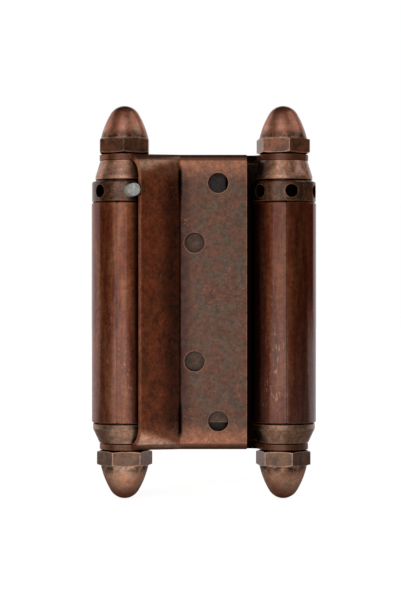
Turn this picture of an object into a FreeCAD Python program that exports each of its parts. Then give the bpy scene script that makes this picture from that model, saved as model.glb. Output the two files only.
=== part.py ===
import FreeCAD, Part
import math
import os

# Double action cafe hinge, in millimetres.
# Two sprung barrels stand side by side, joined by a web plate, and a folded leaf hangs on each.
# +Z is up along the barrels, +X runs from the door barrel to the jamb barrel, and the door leaf is at -Y.
# The origin is midway between the barrel axes, at mid height of the leaves.
# The jamb side is the door side turned half a turn about Z.

Vector = FreeCAD.Vector
UP = Vector(0, 0, 1)
ORIGIN = Vector(0, 0, 0)

# Leaf: one sheet with both long edges turned back, a slanted hood and two ears
leaf_height = 76.2
sheet = 1.4
flat_depth = 4.2           # barrel axis to the outer face of the flat
flange_gap = 0.4           # turned edges stop this far short of the plane of the axes
bend_inner_radius = 0.4    # turned edges along the flat
hood_bend_radius = 4.6     # the same bends, inside, where they have widened at the cut edge of the hood
crease_radius = 0.9        # visible, hollow side of the crease
crease_gap = 5.9           # side of the barrel to the crease
hood_edge = 4.6            # barrel axis to the cut edge of the hood, along X
hood_clearance = 1.3       # between the barrel and the hood
seat_margin = 0.1          # seat of a cone to the start of the hood's bend
edge_gap = 0.95            # free edge of the leaf to the other barrel
ear_radius = 6.5
ear_fillet = 2.0

# Screw holes, countersunk on the side that faces the web
screw_hole_d = 5.3
countersink = 0.6
outer_hole_from_edge = 7.4
outer_hole_from_end = 7.4
inner_hole_from_crease = 3.7
inner_hole_spacing = 30.6

# Barrels and the web plate between them
axis_spacing = 41.2
tube_d = 17.15
tube_wall = 1.2
web_thickness = 2.4
seam_width = 0.15
seam_depth = 0.15
seam_notch = 0.6
door_seam_angle = -11.0
jamb_seam_angle = 3.0

# Spindle and acorn nuts
spindle_d = 6.0
spindle_end_gap = 0.6      # end of the spindle to the floor of the nut's bore
nut_flats = 12.5
nut_seat_d = 11.9          # washer face under the hexagon
nut_seat_height = 0.4
hex_height = 3.85
hex_chamfer_slope = 16.0
dome_height = 8.6
dome_step = 0.05           # dome stands this far inside the flats
dome_tip_inset = 2.0       # tip radius is this much less than the dome's base radius
dome_lean = 12.0
nut_bore_depth = 9.5
door_top_nut_angle = 0.0
door_bottom_nut_angle = -24.0
jamb_top_nut_angle = 11.0
jamb_bottom_nut_angle = 17.0

# Cones at the two ends of a barrel
cone_top_d = 12.7
cone_lip_d = 15.2
cone_lip_height = 1.0
cone_height = 5.2
plug_foot_d = 13.2
plug_step = 0.3            # band stands this far inside the barrel's side
plug_band_height = 1.4
plug_height = 5.2
plug_length = 5.0
groove_height = 0.25
groove_depth = 0.7

# Tension collar and its pin
collar_step = 0.1          # collar stands this far inside the barrel's side
collar_height = 5.4
collar_round = 0.6
collar_spigot = 5.0
collar_core_wall = 1.0
collar_hole_d = 3.4
collar_holes = 6
pin_d = 3.3
pin_stickout = 5.0
pin_rest_gap = 0.1         # pin to the cut edge of the hood

# Torsion spring
wire_d = 2.0
spring_turns = 11
spring_clearance = 0.5     # coil to tube
spring_end_gap = 0.3       # coil to the collar's spigot and to the plug
tang_bend = 1.7
tang_length = 1.8

# Fits and edges
fit = 0.05                 # radial, between pieces that are fixed together
running_fit = 0.06         # radial, spindle in the plug
spigot_fit = 0.1           # radial, collar spigot in the tube
collar_gap = 0.2           # collar above the tube
ear_gap = 0.1              # plug above the lower ear
slot_clearance = 0.3       # round a spring tang in its slot
edge_break = 0.2

# Heights along a barrel
half_height = leaf_height / 2
ear_inside = half_height - sheet
collar_top = ear_inside - cone_height - groove_height
collar_bottom = collar_top - collar_height
tube_top = collar_bottom - collar_gap
plug_bottom = -ear_inside + ear_gap
tube_bottom = plug_bottom + plug_height + groove_height
spigot_end = tube_top - collar_spigot
plug_end = tube_bottom + plug_length

# Radii about a barrel axis
tube_radius = tube_d / 2
tube_bore = tube_radius - tube_wall
spindle_radius = spindle_d / 2
fixed_bore = spindle_radius + fit
wire_radius = wire_d / 2
coil_radius = tube_bore - spring_clearance - wire_radius
collar_radius = tube_radius - collar_step
collar_floor = fixed_bore + collar_core_wall
plug_band_radius = tube_radius - plug_step

# Spring coil between the slots that hold its tangs
coil_bottom = plug_end + spring_end_gap + wire_radius
coil_top = spigot_end - spring_end_gap - wire_radius
half_turns = round(2 * spring_turns)
half_turn_rise = (coil_top - coil_bottom) / half_turns
tang_turn = math.degrees(math.atan2(tang_bend, coil_radius))
lower_tang_angle = 90 + tang_turn
upper_tang_angle = 90 - tang_turn - 180 * half_turns
slot_width = wire_d + 2 * slot_clearance
slot_depth = tang_bend + tang_length - wire_radius - spring_end_gap + slot_clearance

# Plan of the leaf, with the barrel axis at the origin
crease = tube_radius + crease_gap
free_edge = axis_spacing - tube_radius - edge_gap
hood_distance = tube_radius + hood_clearance + sheet
seat_radius = hood_distance - sheet - hood_bend_radius - seat_margin
hood_slant = math.asin(hood_distance / math.hypot(crease, flat_depth)) - math.atan2(flat_depth, crease)
crease_start = crease + crease_radius * math.tan(hood_slant / 2)
crease_axis = Vector(crease_start, -flat_depth - crease_radius, 0)
hood_run = Vector(-math.cos(hood_slant), -math.sin(hood_slant), 0)
hood_back = Vector(-math.sin(hood_slant), math.cos(hood_slant), 0)
hood_start = crease_axis + hood_back * crease_radius
hood_end = hood_start + hood_run * ((hood_start.x - hood_edge) / math.cos(hood_slant))
hood_flange = -hood_end.y / math.cos(hood_slant)

# The tension pin rests against the inner corner of the hood's cut edge
hood_corner = hood_end + hood_back * sheet
corner_angle = math.atan2(hood_corner.x, -hood_corner.y)
pin_angle = math.degrees(corner_angle - math.asin((pin_d / 2 + pin_rest_gap) / hood_corner.Length))


def turned(points):
    """A solid of revolution about Z from a closed outline of (radius, height) points."""
    outline = [Vector(radius, 0, height) for radius, height in points]
    face = Part.Face(Part.makePolygon(outline + outline[:1]))
    return face.revolve(ORIGIN, UP, 360)


def rod(radius, bottom, top):
    """A round bar on the Z axis."""
    return Part.makeCylinder(radius, top - bottom, Vector(0, 0, bottom))


def outward(angle):
    """The level direction at an angle from the front, towards +X."""
    return Vector(math.sin(math.radians(angle)), -math.cos(math.radians(angle)), 0)


def leaf_section(face_point, back, flange_length, inner_radius):
    """The leaf's C section as a closed wire: the upright face, both bends and both turned edges."""
    bend = inner_radius + sheet
    centre = half_height - bend

    def at(depth, height):
        return face_point + back * depth + UP * height

    def corner(radius, sign):
        diagonal = radius * math.sqrt(0.5)
        upright = at(bend - radius, sign * centre)
        middle = at(bend - diagonal, sign * (centre + diagonal))
        level = at(bend, sign * (centre + radius))
        arc = Part.Arc(level, middle, upright) if sign > 0 else Part.Arc(upright, middle, level)
        return arc.toShape()

    edges = [
        Part.makeLine(at(flange_length, half_height), at(bend, half_height)),
        corner(bend, 1),
        Part.makeLine(at(0, centre), at(0, -centre)),
        corner(bend, -1),
        Part.makeLine(at(bend, -half_height), at(flange_length, -half_height)),
        Part.makeLine(at(flange_length, -half_height), at(flange_length, -ear_inside)),
        Part.makeLine(at(flange_length, -ear_inside), at(bend, -ear_inside)),
        corner(inner_radius, -1),
        Part.makeLine(at(sheet, -centre), at(sheet, centre)),
        corner(inner_radius, 1),
        Part.makeLine(at(bend, ear_inside), at(flange_length, ear_inside)),
        Part.makeLine(at(flange_length, ear_inside), at(flange_length, half_height)),
    ]
    return Part.Wire(edges)


def ear(bottom):
    """An ear: a disc about the spindle, filleted into the turned edge of the leaf."""
    disc = rod(ear_radius, bottom, bottom + sheet)
    over_bend = Part.makeBox(hood_flange, hood_flange, leaf_height)
    bend_line = hood_end + hood_back * (hood_bend_radius + sheet)
    over_bend.Placement = FreeCAD.Placement(
        bend_line - UP * half_height,
        FreeCAD.Rotation(-hood_run, -hood_back, UP, "XYZ"),
    )
    disc = disc.cut(over_bend)
    fillet_y = ear_fillet - flange_gap
    fillet_x = math.sqrt((ear_radius + ear_fillet) ** 2 - fillet_y ** 2)
    fillet_centre = Vector(fillet_x, fillet_y, 0)
    on_disc = fillet_centre * (ear_radius / (ear_radius + ear_fillet))
    on_flange = Vector(fillet_x, -flange_gap, 0)
    to_middle = (on_disc + on_flange) * 0.5 - fillet_centre
    middle = fillet_centre + to_middle * (ear_fillet / to_middle.Length)
    root = Vector(0, -flange_gap, 0)
    gusset = Part.Wire([
        Part.makeLine(root, on_disc),
        Part.Arc(on_disc, middle, on_flange).toShape(),
        Part.makeLine(on_flange, root),
    ])
    gusset.translate(UP * bottom)
    return disc.fuse(Part.Face(gusset).extrude(UP * sheet))


def screw_hole(x, z):
    """A screw hole through the flat of the leaf, countersunk from behind."""
    radius = screw_hole_d / 2
    inner_face = -flat_depth + sheet
    back = Vector(0, 1, 0)
    hole = Part.makeCylinder(radius, 3 * sheet, Vector(x, -flat_depth - sheet, z), back)
    seat_start = Vector(x, inner_face - countersink, z)
    seat = Part.makeCone(radius, radius + 2 * countersink, 2 * countersink, seat_start, back)
    return hole.fuse(seat)


def leaf():
    """One folded leaf about a barrel axis at the origin."""
    flat_point = Vector(crease_start, -flat_depth, 0)
    back = Vector(0, 1, 0)
    flat = Part.Face(leaf_section(flat_point, back, flat_depth - flange_gap, bend_inner_radius))
    flat = flat.extrude(Vector(free_edge - crease_start, 0, 0))
    fold = Part.Face(leaf_section(flat_point, back, hood_flange, bend_inner_radius))
    fold = fold.revolve(crease_axis, UP, math.degrees(hood_slant))
    hood = Part.makeLoft([
        leaf_section(hood_start, hood_back, hood_flange, bend_inner_radius),
        leaf_section(hood_end, hood_back, hood_flange, hood_bend_radius),
    ], True, True)
    behind = Part.makeBox(2 * axis_spacing, axis_spacing, 2 * leaf_height)
    behind.translate(Vector(-axis_spacing, -flange_gap, -leaf_height))
    body = hood.cut(behind).fuse([fold.cut(behind), flat, ear(ear_inside), ear(-half_height)])
    outer_x = free_edge - outer_hole_from_edge
    outer_z = half_height - outer_hole_from_end
    inner_x = crease + inner_hole_from_crease
    inner_z = inner_hole_spacing / 2
    holes = [screw_hole(outer_x, side * outer_z) for side in (1, -1)]
    holes += [screw_hole(inner_x, side * inner_z) for side in (1, -1)]
    holes.append(rod(fixed_bore, -leaf_height, leaf_height))
    return body.cut(holes).removeSplitter()


def barrel(seam_angle):
    """A rolled tube with its butt seam as a shallow groove, notched at both ends."""
    bore_edge = tube_bore + edge_break
    rim = tube_radius - edge_break
    tube = turned([
        (bore_edge, tube_bottom), (rim, tube_bottom), (tube_radius, tube_bottom + edge_break),
        (tube_radius, tube_top - edge_break), (rim, tube_top), (bore_edge, tube_top),
        (tube_bore, tube_top - edge_break), (tube_bore, tube_bottom + edge_break),
    ])
    length = tube_top - tube_bottom
    seam = Part.makeBox(seam_width, 2 * seam_depth, length)
    seam.translate(Vector(-seam_width / 2, -tube_radius - seam_depth, tube_bottom))
    cuts = [seam]
    for end in (tube_bottom, tube_top):
        notch = Part.makeBox(seam_notch, 2 * tube_wall, seam_notch)
        notch.translate(Vector(-seam_notch / 2, -tube_radius - tube_wall / 2, -seam_notch / 2))
        notch.rotate(ORIGIN, Vector(0, 1, 0), 45)
        notch.translate(UP * end)
        cuts.append(notch)
    for cut in cuts:
        cut.rotate(ORIGIN, UP, seam_angle)
    return tube.cut(cuts)


def web():
    """The plate between the barrels, its ends hollowed to the tubes."""
    height = tube_top - tube_bottom
    plate = Part.makeBox(axis_spacing, web_thickness, height)
    plate.translate(Vector(-axis_spacing / 2, -web_thickness / 2, tube_bottom))
    for centre in (-axis_spacing / 2, axis_spacing / 2):
        tube = rod(tube_radius, tube_bottom, tube_top)
        tube.translate(Vector(centre, 0, 0))
        plate = plate.cut(tube)
    return plate


def spindle():
    """The pin that carries both ears, chamfered at its ends."""
    end = half_height + nut_bore_depth - spindle_end_gap
    tip = spindle_radius - 2 * edge_break
    return turned([
        (0, -end), (tip, -end), (spindle_radius, -end + 2 * edge_break),
        (spindle_radius, end - 2 * edge_break), (tip, end), (0, end),
    ])


def acorn_nut(angle):
    """A domed hex nut, its washer face on z = 0, with a corner at an angle from the front."""
    flat_radius = nut_flats / 2
    corner_radius = flat_radius / math.cos(math.radians(30))
    hex_top = nut_seat_height + hex_height
    corners = [outward(angle + 60 * i) * corner_radius + UP * nut_seat_height for i in range(7)]
    prism = Part.Face(Part.makePolygon(corners)).extrude(UP * hex_height)
    chamfer = (corner_radius - flat_radius) * math.tan(math.radians(hex_chamfer_slope))
    hexagon = prism.common(turned([
        (0, nut_seat_height), (flat_radius, nut_seat_height), (corner_radius, nut_seat_height + chamfer),
        (corner_radius, hex_top - chamfer), (flat_radius, hex_top), (0, hex_top),
    ]))
    base = flat_radius - dome_step
    tip = base - dome_tip_inset
    lean = math.radians(dome_lean)
    rise = dome_height - tip
    flank = (base ** 2 + rise ** 2 - tip ** 2) / (2 * (base * math.cos(lean) - rise * math.sin(lean) - tip))
    tip_centre = Vector(0, 0, hex_top + rise)
    flank_centre = Vector(base - flank * math.cos(lean), 0, hex_top - flank * math.sin(lean))
    to_tip = (tip_centre - flank_centre).normalize()
    shoulder = Vector(base, 0, hex_top)
    meeting = flank_centre + to_tip * flank
    half_way = ((shoulder + meeting) * 0.5 - flank_centre).normalize()
    peak = Vector(0, 0, hex_top + dome_height)
    brow = ((meeting - tip_centre).normalize() + UP).normalize()
    foot = Vector(0, 0, hex_top)
    outline = Part.Wire([
        Part.makeLine(foot, shoulder),
        Part.Arc(shoulder, flank_centre + half_way * flank, meeting).toShape(),
        Part.Arc(meeting, tip_centre + brow * tip, peak).toShape(),
        Part.makeLine(peak, foot),
    ])
    dome = Part.Face(outline).revolve(ORIGIN, UP, 360)
    seat = rod(nut_seat_d / 2, 0, nut_seat_height)
    return seat.fuse([hexagon, dome]).cut(rod(fixed_bore, 0, nut_bore_depth)).removeSplitter()


def seat_relief(radius):
    """How far the end of a cone falls away at a radius, to clear the bend of the hood."""
    reach = max(radius - seat_radius, 0)
    return hood_bend_radius - math.sqrt(hood_bend_radius ** 2 - reach ** 2)


def top_cone():
    """The flared bush under the upper ear, with a fine groove between its lip and the collar."""
    lip = cone_lip_d / 2
    lip_bottom = collar_top + groove_height
    crown = cone_top_d / 2
    return turned([
        (fixed_bore, collar_top), (lip - groove_depth, collar_top), (lip - groove_depth, lip_bottom),
        (lip - edge_break, lip_bottom), (lip, lip_bottom + edge_break), (lip, lip_bottom + cone_lip_height),
        (crown, ear_inside - seat_relief(crown)), (seat_radius, ear_inside), (fixed_bore, ear_inside),
    ])


def tang_slot(bottom, angle):
    """The radial slot that holds a spring tang, at an angle from the front."""
    slot = Part.makeBox(slot_width, 2 * tube_radius, slot_depth)
    slot.translate(Vector(-slot_width / 2, -2 * tube_radius, bottom))
    slot.rotate(ORIGIN, UP, angle)
    return slot


def collar():
    """The tension collar: a drilled ring with a spigot that turns in the mouth of the tube."""
    spigot = tube_bore - spigot_fit
    arc_point = collar_round * (1 - math.sqrt(0.5))
    shoulder = Vector(collar_radius - collar_round, 0, collar_top)
    round_end = Vector(collar_radius, 0, collar_top - collar_round)
    round_middle = Vector(collar_radius - arc_point, 0, collar_top - arc_point)
    side_bottom = Vector(collar_radius, 0, collar_bottom + edge_break)
    rest = [
        side_bottom,
        Vector(collar_radius - edge_break, 0, collar_bottom),
        Vector(spigot, 0, collar_bottom),
        Vector(spigot, 0, spigot_end + edge_break),
        Vector(spigot - edge_break, 0, spigot_end),
        Vector(fixed_bore, 0, spigot_end),
        Vector(fixed_bore, 0, collar_top),
        shoulder,
    ]
    outline = Part.Wire([
        Part.Arc(shoulder, round_middle, round_end).toShape(),
        Part.makeLine(round_end, side_bottom),
        *Part.makePolygon(rest).Edges,
    ])
    ring = Part.Face(outline).revolve(ORIGIN, UP, 360)
    middle = UP * ((collar_top + collar_bottom) / 2)
    cuts = [tang_slot(spigot_end, upper_tang_angle)]
    for i in range(collar_holes):
        way = outward(pin_angle + 360 * i / collar_holes)
        cuts.append(Part.makeCylinder(collar_hole_d / 2, collar_radius, middle + way * collar_floor, way))
    return ring.cut(cuts)


def tension_pin():
    """The pin in one collar hole, its outer end resting against the cut edge of the hood."""
    radius = pin_d / 2
    tip = radius - edge_break
    length = collar_radius + pin_stickout - collar_floor
    pin = turned([
        (0, 0), (tip, 0), (radius, edge_break), (radius, length - edge_break), (tip, length), (0, length),
    ])
    way = outward(pin_angle)
    middle = UP * ((collar_top + collar_bottom) / 2)
    pin.Placement = FreeCAD.Placement(middle + way * collar_floor, FreeCAD.Rotation(UP, way))
    return pin


def plug():
    """The bottom cone: a turned plug that closes the tube and holds the foot of the spring."""
    bore = spindle_radius + running_fit
    stem = tube_bore - fit
    foot = plug_foot_d / 2
    band_top = tube_bottom - groove_height
    body = turned([
        (bore, plug_bottom), (seat_radius, plug_bottom), (foot, plug_bottom + seat_relief(foot)),
        (plug_band_radius, band_top - plug_band_height), (plug_band_radius, band_top - edge_break),
        (plug_band_radius - edge_break, band_top), (plug_band_radius - groove_depth, band_top),
        (plug_band_radius - groove_depth, tube_bottom), (stem, tube_bottom), (stem, plug_end - edge_break),
        (stem - edge_break, plug_end), (bore, plug_end),
    ])
    return body.cut(tang_slot(plug_end - slot_depth, lower_tang_angle))


def tang(point, along, lift):
    """One end of the spring wire: a quarter bend out of the coil, then a straight tang along the axis."""
    corner = point + UP * lift * tang_bend
    middle = corner + (along - UP * lift) * (tang_bend * math.sqrt(0.5))
    bend_end = corner + along * tang_bend
    bend = Part.Arc(point, middle, bend_end).toShape()
    return bend, Part.makeLine(bend_end, bend_end + UP * lift * tang_length)


def spring():
    """A left-hand torsion spring of tilted half turns, each end bent along the axis into a tang."""
    tilted_radius = math.hypot(coil_radius, half_turn_rise / 2)
    coil = []
    point = Vector(coil_radius, 0, coil_bottom)
    start = point
    side = 1
    for i in range(half_turns):
        following = Vector(-side * coil_radius, 0, point.z + half_turn_rise)
        middle = Vector(0, -side * tilted_radius, point.z + half_turn_rise / 2)
        coil.append(Part.Arc(point, middle, following).toShape())
        point = following
        side = -side
    foot_bend, foot = tang(start, Vector(0, 1, 0), -1)
    head_bend, head = tang(point, Vector(0, -side, 0), 1)
    path = Part.Wire([foot, foot_bend, *coil, head_bend, head])
    wire = Part.Wire(Part.makeCircle(wire_radius, foot.valueAt(foot.LastParameter), UP))
    return path.makePipeShell([wire], True, False)


os.makedirs("parts", exist_ok=True)
nodes = {"connecting_web": web()}
for side, place, turn, seam_angle, top_angle, bottom_angle in (
    ("door", -axis_spacing / 2, 0, door_seam_angle, door_top_nut_angle, door_bottom_nut_angle),
    ("jamb", axis_spacing / 2, 180, jamb_seam_angle, jamb_top_nut_angle, jamb_bottom_nut_angle),
):
    top_nut = acorn_nut(top_angle)
    top_nut.translate(UP * half_height)
    bottom_nut = acorn_nut(bottom_angle).mirror(ORIGIN, UP)
    bottom_nut.translate(UP * -half_height)
    pieces = {
        "leaf": leaf(),
        "barrel": barrel(seam_angle - turn),
        "spindle": spindle(),
        "top_acorn_nut": top_nut,
        "bottom_acorn_nut": bottom_nut,
        "top_cone": top_cone(),
        "tension_collar": collar(),
        "tension_pin": tension_pin(),
        "bottom_cone": plug(),
        "spring": spring(),
    }
    for name, shape in pieces.items():
        shape.rotate(ORIGIN, UP, turn)
        shape.translate(Vector(place, 0, 0))
        nodes[f"{side}_{name}"] = shape

for name, shape in nodes.items():
    shape.exportStep(f"parts/{name}.step")
    print(name, len(shape.Solids), shape.isValid(), round(shape.Volume, 1))
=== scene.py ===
import math

import bpy
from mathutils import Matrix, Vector


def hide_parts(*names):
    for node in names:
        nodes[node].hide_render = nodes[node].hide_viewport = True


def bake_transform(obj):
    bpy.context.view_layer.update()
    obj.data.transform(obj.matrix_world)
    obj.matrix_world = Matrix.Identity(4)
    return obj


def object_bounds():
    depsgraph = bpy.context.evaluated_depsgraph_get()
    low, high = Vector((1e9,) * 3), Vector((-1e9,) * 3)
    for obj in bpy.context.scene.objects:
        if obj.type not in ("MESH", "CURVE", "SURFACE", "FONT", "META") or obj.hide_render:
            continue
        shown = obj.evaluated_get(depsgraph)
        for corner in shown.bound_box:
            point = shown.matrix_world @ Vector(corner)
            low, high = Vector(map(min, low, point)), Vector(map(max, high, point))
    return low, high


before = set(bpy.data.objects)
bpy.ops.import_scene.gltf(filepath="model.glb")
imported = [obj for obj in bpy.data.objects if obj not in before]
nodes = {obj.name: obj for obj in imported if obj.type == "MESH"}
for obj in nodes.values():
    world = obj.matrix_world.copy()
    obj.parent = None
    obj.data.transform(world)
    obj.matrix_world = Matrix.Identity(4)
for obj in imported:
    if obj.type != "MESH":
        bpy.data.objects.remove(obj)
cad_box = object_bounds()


# The connecting web: a plain steel plate welded between the two barrels.
# It is copper plated with them, blackened in a bath and lacquered.
# The plate is painted black towards both barrels, as shade where the leaves shade it in the gaps.
millimetre = 0.001
mottle_size = 1.3 * millimetre
grain_size = 0.4 * millimetre
plate_relief = 0.08 * millimetre
glancing_tint = (0.25, 0.15, 0.1, 1.0)
web_gap_shade_from = 7 * millimetre
web_gap_shade_full = 10.5 * millimetre


def colour(red, green, blue):
    """A colour written as 0 to 255 screen values, in the shader's own scale."""
    channels = []
    for value in (red, green, blue):
        share = value / 255
        channels.append(share / 12.92 if share <= 0.04045 else ((share + 0.055) / 1.055) ** 2.4)
    return (*channels, 1.0)


# Black for bath soot and stains, and for painted shade in gaps, hollows and creases.
soot_and_shade = colour(16, 9, 6)
bright_copper = colour(196, 132, 102)


def shader(tree, kind, inputs=None, **settings):
    """One shader node with its settings, and its inputs filled or linked by name or number."""
    made = tree.nodes.new(kind)
    for name, value in settings.items():
        setattr(made, name, value)
    for name, value in (inputs or {}).items():
        if isinstance(value, bpy.types.NodeSocket):
            tree.links.new(value, made.inputs[name])
        else:
            made.inputs[name].default_value = value
    return made


def maths(tree, operation, first, second=0.0):
    """Two values put together by one sum."""
    return shader(tree, "ShaderNodeMath", {0: first, 1: second}, operation=operation).outputs[0]


def together(tree, first, *others):
    """The share that is left where several shares meet."""
    for other in others:
        first = maths(tree, "MULTIPLY", first, other)
    return first


def fade(tree, value, start, end, low=0.0, high=1.0):
    """A value eased from low to high as another goes from start to end."""
    made = shader(
        tree,
        "ShaderNodeMapRange",
        {"Value": value, "From Min": start, "From Max": end, "To Min": low, "To Max": high},
        interpolation_type="SMOOTHSTEP",
    )
    return made.outputs["Result"]


def blend(tree, amount, under, over):
    """One colour laid over another."""
    made = shader(tree, "ShaderNodeMix", {0: amount, 6: under, 7: over}, data_type="RGBA")
    return made.outputs[2]


def along(tree, vector, way):
    """How far a vector reaches in one direction."""
    made = shader(tree, "ShaderNodeVectorMath", {0: vector, 1: way}, operation="DOT_PRODUCT")
    return made.outputs["Value"]


def clouds(tree, place, size, detail=4.0, rough=0.6, drawn=1.0):
    """Cloudy patches of about that size in metres, drawn out along the hinge's height."""
    squeezed = shader(
        tree,
        "ShaderNodeVectorMath",
        {0: place, 1: (1 / size, 1 / size, 1 / (size * drawn))},
        operation="MULTIPLY",
    )
    made = shader(
        tree,
        "ShaderNodeTexNoise",
        {"Vector": squeezed.outputs[0], "Scale": 1.0, "Detail": detail, "Roughness": rough},
    )
    return made.outputs["Fac"]


def outer_edges(tree, radius):
    """How near a surface point is to an outer edge, 0 to 1."""
    rounded = shader(tree, "ShaderNodeBevel", {"Radius": radius}, samples=6)
    flat = shader(tree, "ShaderNodeNewGeometry").outputs["Normal"]
    return fade(tree, along(tree, rounded.outputs["Normal"], flat), 0.998, 0.92)


def crevices(tree, depth, alone):
    """How deep a point lies in a corner, a hole or, unless taken alone, a joint between pieces, 0 to 1."""
    sky = shader(
        tree, "ShaderNodeAmbientOcclusion", {"Distance": depth}, samples=8, only_local=alone
    )
    return fade(tree, sky.outputs["AO"], 0.85, 0.35)


def new_finish(name):
    """A fresh material, its shader tree, and the place of a surface point in the hinge's own frame."""
    material = bpy.data.materials.new(name)
    material.use_nodes = True
    tree = material.node_tree
    return material, tree, shader(tree, "ShaderNodeTexCoord").outputs["Object"]


def lay(tree, tone, dull, bumps, strength, depth):
    """Gives a surface its colour, its dullness and its fine relief, and hands back its shader."""
    finish = tree.nodes["Principled BSDF"]
    relief = shader(tree, "ShaderNodeBump", {"Height": bumps, "Strength": strength, "Distance": depth})
    tree.links.new(tone, finish.inputs["Base Color"])
    tree.links.new(dull, finish.inputs["Roughness"])
    tree.links.new(relief.outputs["Normal"], finish.inputs["Normal"])
    return finish


def antique_copper(
    name,
    ground,
    warm,
    black=soot_and_shade,
    copper=bright_copper,
    patch=5 * millimetre,
    drawn=1.0,
    stain=0.5,
    speckle=0.16,
    gloss=0.5,
    coat=0.8,
    lacquer=0.18,
    edge=0.35 * millimetre,
    edge_wear=0.8,
    crevice=1.5 * millimetre,
    alone=False,
    wear=None,
    last=None,
):
    """Copper plate blackened in a bath, rubbed back by tumbling and lacquered.

    A piece's own wear and painted shade go under the flecks and the rubbed edges, and its last marks,
    painted shade among them, go over them.
    """
    material, tree, place = new_finish(name)
    patches = clouds(tree, place, patch, drawn=drawn)
    mottle = clouds(tree, place, mottle_size, detail=5.0, rough=0.7)
    grain = clouds(tree, place, grain_size, rough=0.75)
    stains = clouds(tree, place, 2.3 * patch, detail=6.0, rough=0.65, drawn=drawn)

    tone = blend(tree, fade(tree, patches, 0.36, 0.64), ground, warm)
    tone = blend(tree, fade(tree, stains, 0.52, 0.7, 0.0, stain), tone, black)
    if wear:
        tone = wear(tree, place, patches, tone)
    for flecks in (mottle, grain):
        strength = fade(tree, flecks, 0.34, 0.66, 1 - 1.8 * speckle, 1 + 2.2 * speckle)
        scaled = shader(tree, "ShaderNodeVectorMath", {0: tone, "Scale": strength}, operation="SCALE")
        tone = scaled.outputs[0]
    # Corners, holes and joints between pieces are darkened towards black: bath soot in the hollows, and
    # painted shade where pieces shade each other.
    hidden = crevices(tree, crevice, alone)
    tone = blend(tree, together(tree, hidden, 0.95), tone, soot_and_shade)
    rubbed = together(
        tree,
        outer_edges(tree, edge),
        fade(tree, hidden, 0.9, 0.3),
        fade(tree, mottle, 0.3, 0.6, 0.3 * edge_wear, edge_wear),
    )
    tone = blend(tree, rubbed, tone, copper)
    if last:
        tone = last(tree, place, tone)

    dull = fade(tree, grain, 0.2, 0.8, gloss - 0.07, gloss + 0.07)
    bumps = maths(tree, "ADD", together(tree, grain, 0.6), mottle)
    finish = lay(tree, tone, dull, bumps, 0.35, plate_relief)
    brightness = shader(tree, "ShaderNodeRGBToBW", {0: tone}).outputs[0]
    tree.links.new(fade(tree, brightness, 0.003, 0.03, 0.0, coat), finish.inputs["Coat Weight"])
    finish.inputs["Metallic"].default_value = 1.0
    finish.inputs["Specular Tint"].default_value = glancing_tint
    finish.inputs["Coat Roughness"].default_value = lacquer
    return material


def dress(material, *names):
    """Gives CAD nodes their finish."""
    for name in names:
        nodes[name].data.materials.clear()
        nodes[name].data.materials.append(material)


def web_gap_shade(tree, place, tone):
    """Painted shade: black towards both barrels, where the leaves shade the web in the gaps."""
    across = maths(tree, "ABSOLUTE", along(tree, place, (1, 0, 0)))
    return blend(tree, fade(tree, across, web_gap_shade_from, web_gap_shade_full), tone, soot_and_shade)


web_finish = antique_copper(
    "antique_copper_web",
    ground=colour(96, 74, 62),
    warm=colour(90, 64, 50),
    coat=0.3,
    # The long reach paints shade where the leaf lies close over the web, round its holes.
    crevice=3 * millimetre,
    last=web_gap_shade,
)
dress(web_finish, "connecting_web")


# The barrels: steel strip rolled into tubes, the butt seam left as a fine line down the front.
# Copper plated and blackened with the web, they have the glossiest lacquer and streaks along their length.
# Painted shadow darkens them where the leaves cover them; flecks of bare copper show, most on the lower
# halves.
covered_bearing = math.radians(78.5)
covered_from = math.cos(math.radians(72))
covered_full = math.cos(math.radians(50))
scuffed_from = 14 * millimetre
scuffed_full = -24 * millimetre


def scuffs(tree, place, drawn):
    """Groups of short bright flecks where the bath's black has been knocked off."""
    flecks = clouds(tree, place, 0.5 * millimetre, detail=2.0, drawn=drawn)
    groups = clouds(tree, place, 7 * millimetre, detail=2.0, drawn=1.5)
    return together(tree, fade(tree, flecks, 0.57, 0.68), fade(tree, groups, 0.48, 0.62))


def facing_way(tree):
    """The way a surface faces, in the hinge's own frame."""
    return shader(tree, "ShaderNodeTexCoord").outputs["Normal"]


def covered_shadow(tree, place, patches, tone):
    """Painted shadow on the side that faces the other barrel, where a leaf covers it."""
    inward_way = (math.sin(covered_bearing), -math.cos(covered_bearing), 0)
    inward = along(tree, facing_way(tree), inward_way)
    barrel_side = maths(tree, "SIGN", along(tree, place, (-1, 0, 0)))
    covered = fade(tree, together(tree, inward, barrel_side), covered_from, covered_full)
    return blend(tree, together(tree, covered, 0.88), tone, soot_and_shade)


def barrel_wear_and_shadow(tree, place, patches, tone):
    """Short bright flecks, thickest on the lower half, and painted shadow where a leaf covers the barrel.
    """
    low_down = fade(tree, along(tree, place, (0, 0, 1)), scuffed_from, scuffed_full, 0.1, 0.8)
    tone = blend(tree, together(tree, scuffs(tree, place, 3.5), low_down), tone, bright_copper)
    return covered_shadow(tree, place, patches, tone)


def tube_finish(name, ground, warm):
    """The tubes' finish, the jamb tube given darker colours than the door tube."""
    return antique_copper(
        name,
        ground,
        warm,
        patch=1.6 * millimetre,
        drawn=9.0,
        speckle=0.12,
        gloss=0.49,
        lacquer=0.12,
        edge_wear=0.35,
        wear=barrel_wear_and_shadow,
    )


door_tube = tube_finish("antique_copper_door_tube", colour(146, 86, 54), colour(120, 56, 34))
jamb_tube = tube_finish("antique_copper_jamb_tube", colour(124, 70, 43), colour(104, 45, 26))
dress(door_tube, "door_barrel")
dress(jamb_tube, "jamb_barrel")


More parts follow.
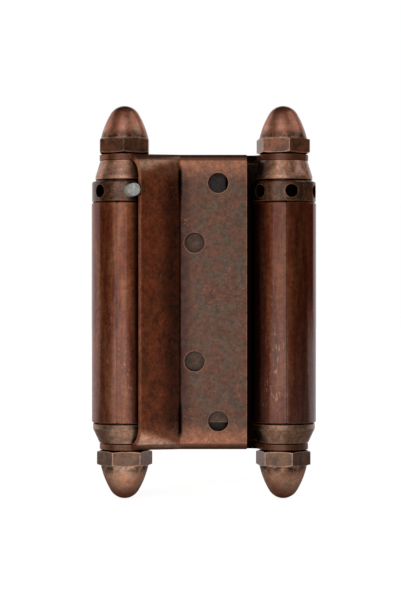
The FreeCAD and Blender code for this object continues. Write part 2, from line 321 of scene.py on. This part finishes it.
# The bottom cones: turned steel plugs pressed into the feet of the barrels, with a groove under the tube.
# The top cones: turned steel bushes that space the collars from the upper ears.
# Both are plated and blackened, then rubbed to orange copper along their rims.
def cone_finish(name, ground, warm):
    """The turned cones' finish, the bottom pair darker than the top pair."""
    return antique_copper(
        name,
        ground,
        warm,
        copper=colour(208, 144, 106),
        patch=1.6 * millimetre,
        stain=0.4,
        speckle=0.17,
        edge=0.7 * millimetre,
        edge_wear=0.85,
        # The side a leaf covers gets the painted shadow, as on the barrels.
        wear=covered_shadow,
    )


bottom_cone = cone_finish("antique_copper_bottom_cone", colour(152, 118, 94), colour(146, 100, 74))
top_cone = cone_finish("antique_copper_top_cone", colour(200, 154, 131), colour(192, 134, 104))
dress(bottom_cone, "door_bottom_cone", "jamb_bottom_cone")
dress(top_cone, "door_top_cone", "jamb_top_cone")


# The springs: left-hand torsion coils of round spring wire, hooked into the bottom cone and the collar.
# The wire is oil tempered, so it is dark grey with a faint bloom from the heat.
# A spring winds up as its leaf swings: the barrel holds its foot and the collar turns its head.
draw_mark = 0.25 * millimetre
draw_relief = 0.03 * millimetre


def bare_steel(name, pale, dark, patch, gloss, drawn=1.0, metal=1.0):
    """Steel without lacquer, with uneven bloom and fine draw marks."""
    material, tree, place = new_finish(name)
    bloom = clouds(tree, place, patch, drawn=drawn)
    marks = clouds(tree, place, draw_mark, detail=2.0, drawn=drawn)
    tone = blend(tree, fade(tree, bloom, 0.35, 0.65), pale, dark)
    tone = blend(tree, fade(tree, marks, 0.5, 0.8, 0.0, 0.5), tone, dark)
    dull = fade(tree, marks, 0.2, 0.8, gloss - 0.08, gloss + 0.1)
    finish = lay(tree, tone, dull, marks, 0.2, draw_relief)
    finish.inputs["Metallic"].default_value = metal
    return material


spring_finish = bare_steel(
    "spring_steel",
    pale=colour(120, 118, 116),
    dark=colour(70, 68, 72),
    patch=3 * millimetre,
    gloss=0.38,
)


def wound_spring(name, node):
    """A copy of the spring in its own finish, put in place of the CAD node, which is hidden."""
    coil = bpy.data.objects.new(name, nodes[node].data.copy())
    bpy.context.scene.collection.objects.link(coil)
    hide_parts(node)
    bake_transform(coil)
    coil.data.materials.clear()
    coil.data.materials.append(spring_finish)


wound_spring("door_wound_spring", "door_spring")
wound_spring("jamb_wound_spring", "jamb_spring")


# The tension collars: turned steel rings with six radial holes and a spigot that turns in the tube's mouth.
# They are handled when a spring is wound up, so the blackening is speckled and the holes' rims are bright.
collar_finish = antique_copper(
    "antique_copper_collar",
    ground=colour(106, 74, 54),
    warm=colour(104, 64, 42),
    copper=colour(196, 138, 100),
    patch=1.6 * millimetre,
    stain=0.4,
    speckle=0.27,
    gloss=0.55,
    edge_wear=0.9,
    # The long reach paints the radial holes black, as shade.
    crevice=4 * millimetre,
    # The side a leaf covers gets the painted shadow, as on the barrels.
    wear=covered_shadow,
)
dress(collar_finish, "door_tension_collar", "jamb_tension_collar")


# The leaves: one pressed steel sheet each, with turned edges, two ears and a hood past the barrel.
# The flat is grey brown and rubbed to tan along its turned edges.
# The inside is painted dark grey, a dull finish darkened as painted shade.
# The hood is redder and painted black towards the crease as shade.
# A black line of painted shade runs along the crease, and the ears' tucked-in inner faces are painted
# black.
# The hood's bends are rubbed to bare copper with a painted highlight, and its cut edges are rubbed to bare
# copper.
crease_x = -6.125 * millimetre
crease_band = 4.2 * millimetre
crease_red = colour(72, 26, 12)
hood_slant = math.radians(32.3)
hood_brown = colour(164, 88, 55)
hood_soot = colour(70, 44, 30)
hood_ruddy = colour(184, 84, 50)
hood_blotch = 2.6 * millimetre
hood_shade_from = -12 * millimetre
hood_shade_full = crease_x - 2 * millimetre
rub_from = 30 * millimetre
rub_full = 37 * millimetre
rubbed_tan = colour(188, 124, 92)
rubbed_bend_and_highlight = colour(240, 194, 166)
rubbed_cut = colour(220, 148, 112)
ear_from = 36.4 * millimetre
ear_full = 36.6 * millimetre
ear_brown = colour(124, 78, 56)
ear_shade = colour(110, 66, 46)
inner_dull_and_shade = colour(48, 44, 42)
line_flare_from = 22 * millimetre
line_flare_full = 31 * millimetre
line_narrow = 0.45 * millimetre
line_wide = 0.9 * millimetre
line_full = 33.5 * millimetre
line_end = 36 * millimetre
tucked_from = -15 * millimetre
tucked_full = -13 * millimetre


def from_middle(tree, place):
    """How far a point lies above or below the middle of the leaves."""
    return maths(tree, "ABSOLUTE", along(tree, place, (0, 0, 1)))


def leaf_finish(name, side):
    """The sheet's finish, with side 1 for the door leaf and -1 for the jamb leaf, turned half a turn."""
    hood_edge_way = (-side * math.cos(hood_slant), -side * math.sin(hood_slant), 0)

    def leaf_wear_shade_and_highlight(tree, place, patches, tone):
        """The crease's red band, the hood's colours and painted shade, the bends' rub and painted
        highlight, the inside's painted shade.
        """
        across = along(tree, place, (side, 0, 0))
        height = from_middle(tree, place)
        facing = facing_way(tree)
        uneven = fade(tree, patches, 0.3, 0.65, 0.6, 1.0)

        on_hood = fade(tree, across, crease_x + 0.3 * millimetre, crease_x - 0.2 * millimetre)
        wander = together(tree, maths(tree, "SUBTRACT", patches, 0.5), crease_band)
        wandered = maths(tree, "ADD", across, wander)
        band = fade(tree, wandered, crease_x + crease_band, crease_x + 0.1 * crease_band)
        tone = blend(tree, together(tree, band, uneven), tone, crease_red)
        tone = blend(tree, together(tree, on_hood, uneven), tone, hood_brown)
        blotches = clouds(tree, place, hood_blotch, detail=6.0, rough=0.72, drawn=1.8)
        sooty = fade(tree, blotches, 0.5, 0.64, 0.0, 0.5)
        tone = blend(tree, together(tree, on_hood, sooty), tone, hood_soot)
        ruddy = fade(tree, blotches, 0.46, 0.36, 0.0, 0.45)
        tone = blend(tree, together(tree, on_hood, ruddy), tone, hood_ruddy)
        # Painted shade: the hood darkens to black towards the crease.
        shaded_by_crease = fade(tree, across, hood_shade_from, hood_shade_full)
        tone = blend(tree, together(tree, shaded_by_crease, on_hood, 0.65), tone, soot_and_shade)

        near_end = fade(tree, height, rub_from, rub_full)
        tone = blend(tree, together(tree, near_end, uneven), tone, rubbed_tan)
        at_ear = fade(tree, height, ear_from, ear_full)
        tone = blend(tree, together(tree, at_ear, 0.9), tone, ear_brown)
        # The hood's bends are painted pale: bare copper where rubbed, and a painted highlight where they
        # catch the light.
        tilt = maths(tree, "ABSOLUTE", along(tree, facing, (0, 0, 1)))
        bent = together(tree, fade(tree, tilt, 0.0, 0.6), fade(tree, tilt, 0.95, 0.6))
        tone = blend(tree, together(tree, bent, on_hood, uneven, 0.8), tone, rubbed_bend_and_highlight)
        tone = blend(tree, together(tree, scuffs(tree, place, 0.6), 0.4), tone, bright_copper)

        # The inner faces are painted dark grey: a dull finish, darkened as painted shade.
        inside = fade(tree, along(tree, facing, (0, side, 0)), 0.5, 0.7)
        inside = together(tree, inside, maths(tree, "SUBTRACT", 1.0, at_ear))
        tone = blend(tree, together(tree, inside, 0.85), tone, inner_dull_and_shade)
        cut = fade(tree, along(tree, facing, hood_edge_way), 0.9, 0.97)
        return blend(tree, together(tree, cut, uneven, 0.9), tone, rubbed_cut)

    def crease_shade_and_ears(tree, place, tone):
        """Painted shade as a black line along the crease, wider at both ends, the ears, and painted shade
        on tucked-in edges.
        """
        across = along(tree, place, (side, 0, 0))
        height = from_middle(tree, place)
        flare = fade(tree, height, line_flare_from, line_flare_full)
        width = fade(tree, flare, 0.0, 1.0, line_narrow, line_wide)
        from_crease = maths(tree, "ABSOLUTE", maths(tree, "SUBTRACT", across, crease_x))
        # Painted shade: a black line along the crease.
        line = together(
            tree,
            fade(tree, maths(tree, "DIVIDE", from_crease, width), 1.0, 0.2),
            fade(tree, flare, 0.0, 1.0, 0.8, 1.0),
            fade(tree, height, line_end, line_full),
        )
        tone = blend(tree, line, tone, soot_and_shade)
        at_ear = fade(tree, height, ear_from, ear_full)
        tone = blend(tree, together(tree, at_ear, 0.6), tone, ear_shade)
        # Painted shade: the ears' inner faces by the barrel are painted black.
        inside = fade(tree, along(tree, facing_way(tree), (0, side, 0)), 0.5, 0.7)
        tucked = fade(tree, across, tucked_from, tucked_full)
        return blend(tree, together(tree, at_ear, inside, tucked), tone, soot_and_shade)

    return antique_copper(
        name,
        ground=colour(102, 81, 66),
        warm=colour(118, 74, 54),
        patch=4 * millimetre,
        stain=0.25,
        speckle=0.13,
        gloss=0.57,
        coat=0.45,
        lacquer=0.25,
        edge=0.4 * millimetre,
        edge_wear=1.0,
        crevice=1.2 * millimetre,
        wear=leaf_wear_shade_and_highlight,
        last=crease_shade_and_ears,
    )


dress(leaf_finish("antique_copper_door_sheet", 1), "door_leaf")
dress(leaf_finish("antique_copper_jamb_sheet", -1), "jamb_leaf")


# The spindles: bright drawn steel rods that pass through both ears and carry the nuts.
# They are hidden inside the barrels, so they are left unplated.
spindle_finish = bare_steel(
    "bright_steel",
    pale=colour(186, 184, 180),
    dark=colour(128, 126, 124),
    patch=2 * millimetre,
    gloss=0.3,
    drawn=8.0,
)
dress(spindle_finish, "door_spindle", "jamb_spindle")


# The acorn nuts: steel hexagons turned into pointed domes, screwed on both ends of each spindle.
# The domes and the hexagons' edges are rubbed bright, and the domes' tips are painted browner as shade.
# A green black patina stays where the dome meets the hexagon, and the seats are painted black as shade.
hex_start = 38.5 * millimetre
hex_end = 42.35 * millimetre
hex_blotch = 1.8 * millimetre
patina_reach = 3 * millimetre
tip_from = 45.5 * millimetre
tip_full = 50 * millimetre
# Painted shade at the tips of the domes.
tip_shade_brown = colour(150, 84, 56)
verdigris = colour(46, 44, 34)


def nut_seat_shade(tree, place, tone):
    """The seat under the hexagon, painted black as shade."""
    under = fade(tree, from_middle(tree, place), hex_start + 0.1 * millimetre, hex_start)
    return blend(tree, under, tone, soot_and_shade)


def nut_finish(name, ground, warm, flat, blotched):
    """The nuts' finish, the bottom pair paler on the domes and darker on the hexagons."""

    def nut_wear_and_tip_shade(tree, place, patches, tone):
        """Blotched flats on the hexagon, patina round the foot of the dome, and a tip painted brown as
        shade.
        """
        height = from_middle(tree, place)
        on_hex = fade(tree, height, hex_end + 0.1 * millimetre, hex_end - 0.1 * millimetre)
        blotches = clouds(tree, place, hex_blotch, detail=5.0, rough=0.7)
        hex_tone = blend(tree, fade(tree, blotches, 0.4, 0.62), flat, blotched)
        tone = blend(tree, together(tree, on_hex, 0.9), tone, hex_tone)
        foot = fade(tree, height, hex_end + patina_reach, hex_end)
        on_dome = maths(tree, "SUBTRACT", 1.0, on_hex)
        gathered = fade(tree, blotches, 0.36, 0.58, 0.2, 1.0)
        tone = blend(tree, together(tree, foot, on_dome, gathered), tone, verdigris)
        return blend(tree, fade(tree, height, tip_from, tip_full, 0.0, 0.75), tone, tip_shade_brown)

    return antique_copper(
        name,
        ground,
        warm,
        black=verdigris,
        copper=colour(246, 190, 152),
        patch=3.5 * millimetre,
        stain=0.45,
        speckle=0.08,
        coat=0.7,
        lacquer=0.2,
        edge=0.55 * millimetre,
        edge_wear=1.0,
        alone=True,
        wear=nut_wear_and_tip_shade,
        last=nut_seat_shade,
    )


top_nut = nut_finish(
    "antique_copper_top_nut",
    ground=colour(224, 164, 136),
    warm=colour(208, 130, 100),
    flat=colour(148, 92, 64),
    blotched=colour(84, 60, 46),
)
bottom_nut = nut_finish(
    "antique_copper_bottom_nut",
    ground=colour(236, 188, 158),
    warm=colour(222, 158, 124),
    flat=colour(122, 84, 60),
    blotched=colour(72, 58, 46),
)
dress(top_nut, "door_top_acorn_nut", "jamb_top_acorn_nut")
dress(bottom_nut, "door_bottom_acorn_nut", "jamb_bottom_acorn_nut")


# The tension pins: short cropped pieces of zinc plated rod, one in each collar, resting on the hood's edge.
# The zinc has dulled to a pale grey with darker specks.
pin_finish = bare_steel(
    "zinc_plated_steel",
    pale=colour(255, 255, 250),
    dark=colour(196, 200, 190),
    patch=0.7 * millimetre,
    gloss=0.5,
    metal=0.1,
)
dress(pin_finish, "door_tension_pin", "jamb_tension_pin")


# The table: a sheet of white paper just under the acorns' tips.
# The hinge mirrors it bright at the back and below the softbox at the front left, and dim elsewhere.
# It keeps a soft shadow round the hinge and turns to plain white with distance.
key_bearing = math.radians(-14.5)
floor_level = cad_box[0].z - 0.05 * millimetre
floor_reach = 3.0
shadow_reach = 0.12
near_white = 0.84
paper_white = (0.8, 0.8, 0.8, 1)
shine_slope = 0.62
shine_edge = 0.03
shine_from = 0.008
shine_full = 0.022


def seen_white(tree, mirrored_part):
    """White to the camera everywhere, and to shiny or clear surfaces only in the part given."""
    rays = shader(tree, "ShaderNodeLightPath").outputs
    mirrored = maths(tree, "MAXIMUM", rays["Is Glossy Ray"], rays["Is Transmission Ray"])
    return maths(tree, "MAXIMUM", rays["Is Camera Ray"], together(tree, mirrored, mirrored_part))


bpy.ops.mesh.primitive_circle_add(
    vertices=96, radius=floor_reach, fill_type="NGON", location=(0, 0, floor_level)
)
floor = bpy.context.object
floor.name = "floor"
paper, tree, place = new_finish("white_paper")
paper.cycles.emission_sampling = "NONE"
tree.nodes.remove(tree.nodes["Principled BSDF"])
distance = shader(tree, "ShaderNodeVectorMath", {0: place}, operation="LENGTH").outputs["Value"]
whiteness = fade(tree, distance, 0.5 * shadow_reach, 3 * shadow_reach, near_white, 1.0)
behind = fade(tree, along(tree, place, (0, 1, 0)), 0.0, shadow_reach)
forward = along(tree, place, (math.sin(key_bearing), -math.cos(key_bearing), 0))
sideways = along(tree, place, (math.cos(key_bearing), math.sin(key_bearing), 0))
half_width = together(tree, forward, shine_slope)
spread = maths(tree, "SUBTRACT", half_width, maths(tree, "ABSOLUTE", sideways))
shine = together(tree, fade(tree, spread, -shine_edge, 0.0), fade(tree, forward, shine_from, shine_full))
seen = seen_white(tree, maths(tree, "MAXIMUM", behind, shine))
lit = shader(tree, "ShaderNodeBsdfDiffuse", {"Color": paper_white})
white = shader(
    tree, "ShaderNodeEmission", {"Color": (1, 1, 1, 1), "Strength": together(tree, seen, whiteness)}
)
both = shader(tree, "ShaderNodeAddShader", {0: lit.outputs[0], 1: white.outputs[0]})
tree.links.new(both.outputs[0], tree.nodes["Material Output"].inputs["Surface"])
floor.data.materials.append(paper)


# The white room: white to the camera, and lighting the hinge from behind.
# The front of the room is left dim, so the barrels keep the dark bands between their lights.
backdrop_way = (-0.28, 0.96, 0)
backdrop_from = 0.30
backdrop_full = 0.44
backdrop_top = 0.75
backdrop_top_full = 0.5
backdrop_level = 0.62
front_level = 0.015
room = bpy.data.worlds.new("white_room")
bpy.context.scene.world = room
room.use_nodes = True
tree = room.node_tree
way = shader(tree, "ShaderNodeTexCoord").outputs["Generated"]
backdrop = together(
    tree,
    fade(tree, along(tree, way, backdrop_way), backdrop_from, backdrop_full),
    fade(tree, along(tree, way, (0, 0, 1)), backdrop_top, backdrop_top_full),
)
studio = fade(tree, backdrop, 0.0, 1.0, front_level, backdrop_level)
level = shader(
    tree, "ShaderNodeMix", {0: seen_white(tree, backdrop), 2: studio, 3: 1.0}, data_type="FLOAT"
)
sky = tree.nodes["Background"]
sky.inputs["Color"].default_value = (1, 1, 1, 1)
tree.links.new(level.outputs[0], sky.inputs["Strength"])


# The studio lights: a tall softbox that stands on the floor at the front left and faces the hinge,
# and a small square one, high on the right, for the tops of the domes and the turned edges.
key_reach = 0.62
key_width = 0.51
key_height = 1.3
key_radiance = 1.06
key_middle = Vector((key_reach * math.sin(key_bearing), -key_reach * math.cos(key_bearing), 0))
key_middle.z = floor_level + key_height / 2
key_aim = Vector((-key_middle.x, -key_middle.y, 0))
high_middle = Vector((0.45, -0.05, 0.48))
high_size = 0.4
high_radiance = 1.1


def softbox(name, middle, aim, width, height, radiance):
    """A panel of light, facing the way it is aimed."""
    lamp = bpy.data.lights.new(name, "AREA")
    lamp.shape = "RECTANGLE"
    lamp.size = width
    lamp.size_y = height
    lamp.energy = radiance * math.pi * width * height
    panel = bpy.data.objects.new(name, lamp)
    panel.location = middle
    panel.rotation_euler = aim.to_track_quat("-Z", "Y").to_euler()
    bpy.context.scene.collection.objects.link(panel)


softbox("key_softbox", key_middle, key_aim, key_width, key_height, key_radiance)
softbox("overhead_softbox", high_middle, -high_middle, high_size, high_size, high_radiance)


# The camera: level with the middle of the leaves, square to the door leaf, half a metre away.
# Its frame is the photograph's, 401 by 601 pixels at 0.26 mm to the pixel.
pixel = 0.26 * millimetre
frame_height = 601
camera_distance = 0.5
camera_across = -3.4 * pixel
camera_height = 1.5 * pixel
lens = bpy.data.cameras.new("camera")
lens.sensor_width = 36
lens.lens = lens.sensor_width * camera_distance / (frame_height * pixel)
camera = bpy.data.objects.new("camera", lens)
camera.location = (camera_across, -camera_distance, camera_height)
camera.rotation_euler = (math.radians(90), 0, 0)
bpy.context.scene.collection.objects.link(camera)
bpy.context.scene.camera = camera
bpy.context.scene.view_settings.view_transform = "Standard"
